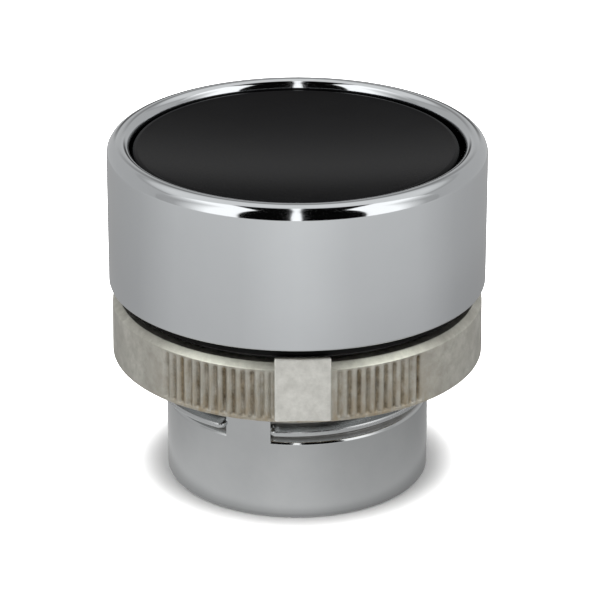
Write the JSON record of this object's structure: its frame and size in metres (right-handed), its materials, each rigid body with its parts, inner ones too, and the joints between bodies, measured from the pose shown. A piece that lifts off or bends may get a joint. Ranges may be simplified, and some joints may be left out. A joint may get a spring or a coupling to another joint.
{
  "type": "industrial push button head",
  "caption": "Flush spring-return push button head for a 22 mm panel hole: chromed bezel, black concave cap, threaded shank with plain rear tube, knurled ring nut.",
  "frame": {"origin": "on the axis at the rear end of the shank, where the part stands upright", "axes": "+Z along the button's axis, from the rear tube to the cap; -Y is the front of the ring nut as stored"},
  "size_m": [0.0296, 0.0296, 0.0276],
  "materials": {
    "chrome_plate": "bright chrome plate",
    "satin_zinc": "satin chromed zinc casting",
    "raw_zinc": "raw zinc casting, dull, with dirt in the knurl",
    "black_plastic": "fine satin grain",
    "gasket_rubber": "dull",
    "nitrile": "smooth",
    "acetal": "natural white, smooth",
    "spring_steel": "drawn wire",
    "stainless": "pressed and turned steel",
    "blackened_steel": "black oxide"
  },
  "bodies": {
    "housing": {"threaded_shank": "satin_zinc", "bezel_ring": "chrome_plate", "bezel_o_ring": "nitrile", "panel_gasket": "gasket_rubber", "guide_bush": "acetal", "spring_seat_washer": "stainless", "return_spring": "spring_steel"},
    "button": {"button_cap": "black_plastic", "plunger": "acetal", "plunger_seal": "nitrile", "cap_snap_ring": "spring_steel", "stop_washer": "gasket_rubber", "retaining_clip": "spring_steel", "plunger_foot": "acetal", "foot_screw": "stainless"},
    "washer": {"lock_washer": "blackened_steel"},
    "nut": {"ring_nut": "raw_zinc"}
  },
  "joints": [
    {"name": "button_press", "type": "slide", "parent": "housing", "child": "button", "axis": [0, 0, -1], "range_m": [0, 0.004], "stiffness_N_per_m": 800, "springref_m": -0.003, "deforming": ["return_spring"]},
    {"name": "nut_travel", "type": "slide", "parent": "housing", "child": "washer", "axis": [0, 0, -1], "range_m": [0, 0.005]},
    {"name": "nut_turn", "type": "hinge", "parent": "washer", "child": "nut", "pos_m": [0, 0, 0.0125], "axis": [0, 0, -1], "range_deg": [0, 1200]}
  ],
  "couplings": [
    {"joint": "nut_travel", "follows": "nut_turn", "m_per_rad": 0.00023873}
  ]
}
